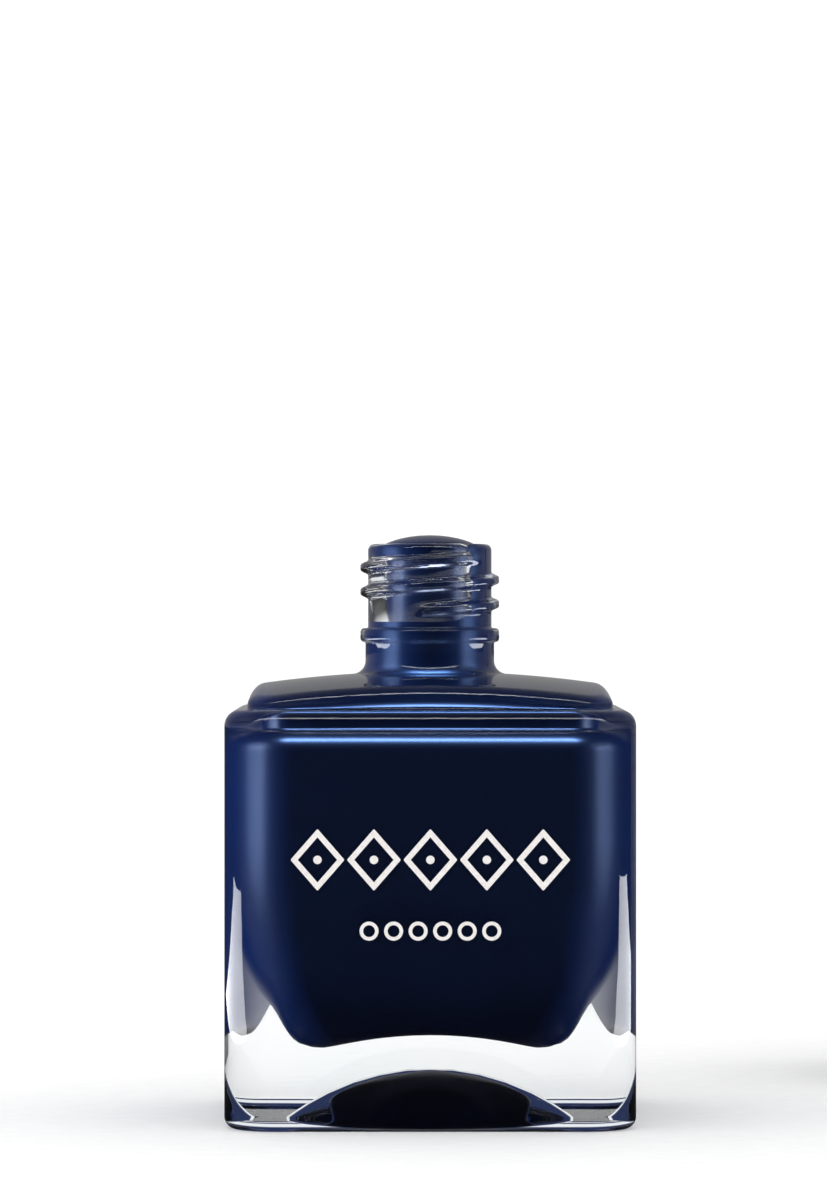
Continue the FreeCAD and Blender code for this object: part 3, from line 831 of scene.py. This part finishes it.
def make_stem(material):
    """Turned stem: the tuft's blind hole, the rod, the mouth plug, the sealing collar and the pressed-in spigot."""
    edge = 0.12
    profile = [(0, HOLE_TOP), (HOLE - edge, HOLE_TOP), (HOLE, HOLE_TOP - edge), (HOLE, STEM_END + edge)]
    profile += round_off(HOLE + edge, STEM_END + edge, edge, 180, 270, 3)
    profile += round_off(STEM - STEM_TIP, STEM_END + STEM_TIP, STEM_TIP, 270, 360, 5)
    profile += [(STEM, mix(STEM_END, PLUG_LOW, share)) for share in (0.04, 0.5)]
    profile += round_off(STEM + 0.3, PLUG_LOW - 0.3, 0.3, 180, 90, 4)
    profile += round_off(PLUG - PLUG_TAPER - edge, PLUG_LOW + edge, edge, 270, 350, 3)
    profile += [(PLUG, COLLAR_LOW - 0.02), (PLUG + 0.02, COLLAR_LOW)]
    profile += round_off(COLLAR - edge, COLLAR_LOW + edge, edge, 270, 360, 3)
    profile += round_off(COLLAR - edge, COLLAR_TOP - edge, edge, 0, 90, 3)
    profile += [(CORE, COLLAR_TOP), (CORE, COLLAR_TOP + 0.1), (CORE, SPIGOT_TOP - 0.3), (CORE - 0.3, SPIGOT_TOP)]
    profile += [(0, SPIGOT_TOP)]
    finish_piece(lathe(profile, 96), "brush_rod", "brush_stem", "applicator", [material],
                 set_down=True)


def tuft_shape(share):
    """Half widths along X and Y of the tuft, from its root in the stem, 0, to its tip, 1."""
    belly = 0.55
    shoulder = 0.85
    if share < belly:
        grown = smooth(share / belly)
        return mix(TUFT_ROOT, TUFT_WIDE, grown), mix(TUFT_ROOT, TUFT_THIN, grown)
    if share < shoulder:
        keep = mix(1, 0.9, smooth((share - belly) / (shoulder - belly)))
    else:
        keep = mix(0.9, 0.62, ((share - shoulder) / (1 - shoulder)) ** 2)
    return TUFT_WIDE * keep, TUFT_THIN * keep


def make_bristles(material):
    """Nylon filaments in one tuft, parallel in the stem's hole and fanned into a flat rounded tip."""
    draw = random.Random(7)
    count = 420
    thick = 0.055
    sides = 5
    steps = 9
    free = STEM_END - TUFT_TIP
    golden = math.pi * (3 - math.sqrt(5))
    whole = bmesh.new()
    number = whole.verts.layers.int.new("filament")
    corner = whole.verts.layers.int.new("corner")
    filaments = []
    for index in range(count):
        reach = math.sqrt((index + 0.5) / count)
        # Outer filaments end sooner, so that the tip is round.
        length = free * (1 - 0.1 * reach ** 3 - draw.uniform(0, 0.03))
        filaments.append((reach, golden * index, length, draw.gauss(0, 0.025), draw.gauss(0, 0.025)))
        made = bmesh.ops.create_circle(whole, segments=sides, radius=1, cap_ends=True)
        for side, vert in enumerate(made["verts"]):
            vert[number] = index
            vert[corner] = side

    def place(verts, share):
        radius = thick * mix(1, 0.55, share ** 3)
        for vert in verts:
            reach, angle, length, stray_x, stray_y = filaments[vert[number]]
            wide, thin = tuft_shape(share * length / free)
            turn = 2 * math.pi * vert[corner] / sides
            x = reach * (wide - thick) * math.cos(angle) + stray_x * share + radius * math.cos(turn)
            y = reach * (thin - thick) * math.sin(angle) + stray_y * share + radius * math.sin(turn)
            vert.co = (x, y, STEM_END - length * share)

    place(whole.verts, 0)
    edges = list(whole.edges)
    for step in range(1, steps + 1):
        made = bmesh.ops.extrude_edge_only(whole, edges=edges)["geom"]
        edges = [part for part in made if isinstance(part, bmesh.types.BMEdge)]
        place([part for part in made if isinstance(part, bmesh.types.BMVert)], step / steps)
    bmesh.ops.edgeloop_fill(whole, edges=edges)
    bmesh.ops.recalc_face_normals(whole, faces=whole.faces)
    top = HOLE_TOP - 0.03
    root = lathe([(0, top), (HOLE - 0.03, top), (HOLE - 0.03, STEM_END - 0.3), (0, STEM_END - 1)], 48)
    finish_piece(joined(whole, root), "brush_tuft", "bristles", "applicator", [material],
                 set_down=True)


# ---------------------------------------------------------------- stage

def stage_plane(name, size, place, material):
    """Flat rectangle on the table, not part of the object."""
    bm = bmesh.new()
    bmesh.ops.create_grid(bm, x_segments=1, y_segments=1, size=0.5)
    bmesh.ops.scale(bm, vec=(*size, 1), verts=bm.verts)
    bmesh.ops.translate(bm, vec=place, verts=bm.verts)
    mesh = bpy.data.meshes.new(name)
    bm.to_mesh(mesh)
    bm.free()
    mesh.materials.append(material)
    plane = bpy.data.objects.new(name, mesh)
    bpy.context.scene.collection.objects.link(plane)
    return plane


def mirrored(tree):
    """1 where a surface is seen in a reflection, but not through clear glass."""
    path = add(tree, "ShaderNodeLightPath")
    return add(tree, "ShaderNodeMath", {"operation": "SUBTRACT", "use_clamp": True},
               {0: path.outputs["Is Glossy Ray"], 1: path.outputs["Is Transmission Ray"]}).outputs["Value"]


def make_floor():
    """Plain pale table top, wide enough for every view. Where it is seen mirrored in the glass its colour is painted
    dark, a painted reflection that stands in for a black card; its far part seen through the glass is painted dark
    too, a painted shade: only the base, which sees the near part, is bright."""
    material, tree, output = new_material("pale_table_paint")
    grain = object_noise(tree, 2.0, detail=3.0)
    colour = two_tones(tree, grain.outputs["Fac"], "#F9F9F9", "#FDFDFD")
    paint = add(tree, "ShaderNodeBsdfPrincipled", {"Roughness": 0.6, "Specular IOR Level": 0.0},
                {"Base Color": colour})
    # painted dark reflection: this dark grey diffuse, called card, stands in for a black card that is not in the
    # scene
    card = add(tree, "ShaderNodeBsdfDiffuse", {"Color": linear("#303030")})
    # painted shade: seen through the glass, the floor beyond 12 to 24 cm from the middle turns to the dark grey
    place = add(tree, "ShaderNodeTexCoord")
    off = add(tree, "ShaderNodeVectorMath", {"operation": "LENGTH"}, {0: place.outputs["Object"]})
    far = add(tree, "ShaderNodeMapRange", {"interpolation_type": "SMOOTHSTEP", "From Min": 0.12, "From Max": 0.24},
              {"Value": off.outputs["Value"]})
    path = add(tree, "ShaderNodeLightPath")
    dusky = add(tree, "ShaderNodeMath", {"operation": "MULTIPLY"},
                {0: path.outputs["Is Transmission Ray"], 1: far.outputs["Result"]})
    # mask of the painted dark reflection and the painted shade through the glass
    dark = add(tree, "ShaderNodeMath", {"operation": "MAXIMUM"}, {0: mirrored(tree), 1: dusky.outputs["Value"]})
    mixed = add(tree, "ShaderNodeMixShader", {}, {0: dark.outputs["Value"], 1: paint.outputs["BSDF"],
                                                  2: card.outputs["BSDF"]})
    tree.links.new(mixed.outputs["Shader"], output.inputs["Surface"])
    stage_plane("table_top", (12.0, 12.0), (0, 0, 0), material)


def shine_on(source, pieces):
    """Keep a light or a glowing card to some pieces."""
    receivers = bpy.data.collections.new(source.name + "_receivers")
    for piece in pieces:
        receivers.objects.link(piece)
    source.light_linking.receiver_collection = receivers


def make_side_card(name, side, glass):
    """Glowing card on the table beside the bottle. It shows only as a soft streak in the glass's lower corners."""
    material, tree, output = new_material(name)
    glow = add(tree, "ShaderNodeEmission", {"Color": linear("#F4F6FA"), "Strength": 8.0})
    tree.links.new(glow.outputs["Emission"], output.inputs["Surface"])
    card = stage_plane(name, (0.30, 0.16), (side * 0.24, 0.03, 0.0006), material)
    card.visible_camera = False
    card.visible_diffuse = False
    card.visible_transmission = False
    card.visible_shadow = False
    shine_on(card, [glass])


def soft_box(name, place, size, watts, aim, pieces):
    """Rectangular studio light that faces a point and lights some pieces only. It doesn't show in the picture."""
    lamp = bpy.data.lights.new(name, "AREA")
    lamp.shape = "RECTANGLE"
    lamp.size, lamp.size_y = size
    lamp.energy = watts
    light = bpy.data.objects.new(name, lamp)
    light.location = place
    light.rotation_euler = (Vector(aim) - Vector(place)).to_track_quat("-Z", "Y").to_euler()
    light.visible_camera = False
    bpy.context.scene.collection.objects.link(light)
    shine_on(light, pieces)
    return light


def make_world():
    """White surroundings. Through the glass they are dusky, which draws its edges, apart from a bright band just
    above the table for the base. In reflections they are a dark studio with a strip light overhead."""
    world = bpy.data.worlds.new("white_studio")
    bpy.context.scene.world = world
    world.use_nodes = True
    tree = world.node_tree
    tree.nodes.clear()
    output = add(tree, "ShaderNodeOutputWorld")
    path = add(tree, "ShaderNodeLightPath")
    place = add(tree, "ShaderNodeTexCoord")
    split = add(tree, "ShaderNodeSeparateXYZ", {}, {"Vector": place.outputs["Generated"]})
    walls = add(tree, "ShaderNodeMapRange", {"From Min": -0.5, "From Max": 0.7, "To Min": 0.01, "To Max": 0.32},
                {"Value": split.outputs["Y"]})
    off_strip = add(tree, "ShaderNodeMath", {"operation": "SUBTRACT", 1: -0.47}, {0: split.outputs["Y"]})
    distance = add(tree, "ShaderNodeMath", {"operation": "ABSOLUTE"}, {0: off_strip.outputs["Value"]})
    strip = add(tree, "ShaderNodeMapRange", {"interpolation_type": "SMOOTHSTEP", "From Min": 0.09, "From Max": 0.03,
                                             "To Min": 0.0, "To Max": 7.0}, {"Value": distance.outputs["Value"]})
    overhead = add(tree, "ShaderNodeMapRange", {"interpolation_type": "SMOOTHSTEP", "From Min": 0.5,
                                                "From Max": 0.75}, {"Value": split.outputs["Z"]})
    studio = add(tree, "ShaderNodeMath", {"operation": "MULTIPLY_ADD"},
                 {0: strip.outputs["Result"], 1: overhead.outputs["Result"], 2: walls.outputs["Result"]})
    lit = add(tree, "ShaderNodeBackground", {"Color": linear("#FFFFFF"), "Strength": 1.12})
    rise = add(tree, "ShaderNodeMapRange", {"interpolation_type": "SMOOTHSTEP", "From Min": 0.03, "From Max": 0.06},
               {"Value": split.outputs["Z"]})
    fall = add(tree, "ShaderNodeMapRange", {"interpolation_type": "SMOOTHSTEP", "From Min": 0.26, "From Max": 0.18},
               {"Value": split.outputs["Z"]})
    backdrop = add(tree, "ShaderNodeMath", {"operation": "MULTIPLY"},
                   {0: rise.outputs["Result"], 1: fall.outputs["Result"]})
    sky = add(tree, "ShaderNodeMix", {"data_type": "RGBA", 6: linear("#2C3658"), 7: linear("#F4F6FA")},
              {0: backdrop.outputs["Value"]})
    dusk = add(tree, "ShaderNodeBackground", {"Strength": 1.0}, {"Color": sky.outputs[2]})
    mirror = add(tree, "ShaderNodeBackground", {"Color": linear("#FFFFFF")}, {"Strength": studio.outputs["Value"]})
    through = add(tree, "ShaderNodeMixShader", {},
                  {0: path.outputs["Is Transmission Ray"], 1: lit.outputs["Background"],
                   2: dusk.outputs["Background"]})
    shade = add(tree, "ShaderNodeMixShader", {}, {0: mirrored(tree), 1: through.outputs["Shader"],
                                                  2: mirror.outputs["Background"]})
    tree.links.new(shade.outputs["Shader"], output.inputs["Surface"])


def make_camera():
    """Level camera in front, a little to the left, that looks along +Y."""
    distance = 450.0
    picture_height = 90.97
    camera_data = bpy.data.cameras.new("camera")
    camera = bpy.data.objects.new("camera", camera_data)
    bpy.context.scene.collection.objects.link(camera)
    camera.location = (-1.28 * MM, -distance * MM, 40.4 * MM)
    camera.rotation_euler = (math.pi / 2, 0, 0)
    camera_data.sensor_width = 36.0
    camera_data.lens = camera_data.sensor_width * (distance - BODY_HALF) / picture_height
    camera_data.clip_start = 0.01
    camera_data.clip_end = 20.0
    bpy.context.scene.camera = camera


make_camera()
make_world()
make_floor()
bpy.context.scene.view_settings.view_transform = "Standard"

bottle = make_glass(flint_glass())
# Light falls through the clear glass on the lacquer.
bottle.visible_shadow = False
make_side_card("left_card", -1, bottle)
make_side_card("right_card", 1, bottle)
filling = make_lacquer(lacquer_behind_glass(), lacquer_in_air())
soft_box("left_strip", (-0.40, -0.02, 0.05), (0.12, 0.30), 22.0, (0, 0, 0.02), [filling])
soft_box("right_strip", (0.40, -0.02, 0.05), (0.12, 0.30), 13.0, (0, 0, 0.02), [filling])
gleam = soft_box("top_strip", (0.0, -0.16, 0.33), (0.30, 0.03), 30.0, (0, 0, 0.03), [filling])
gleam.visible_diffuse = False
make_balls(satin_metal("stainless_steel", "#B8B8BA", "#CACACC", 0.12, 0.2, 0.4, 0.002))
make_print(screen_ink())
make_overcap(silver_lacquered_abs())
make_insert(moulded_plastic("natural_polypropylene", "#D9D8D2", "#E4E3DE", 0.38, 0.5, 0.6, 0.004))
make_screw_cap(moulded_plastic("black_polypropylene", "#0C0C0E", "#131316", 0.28, 0.42, 0.4, 0.004))
make_stem(moulded_plastic("black_polyethylene", "#0B0B0D", "#121215", 0.3, 0.42, 0.5, 0.004))
make_bristles(moulded_plastic("wet_nylon_filaments", "#0A1026", "#141A30", 0.15, 0.25, 0.3, 0.0))
brass = satin_metal("drawn_brass", "#B08A3E", "#C49C4C", 0.25, 0.35, 0.3, 0.002)
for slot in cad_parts["brush_staple"].material_slots:
    slot.material = brass
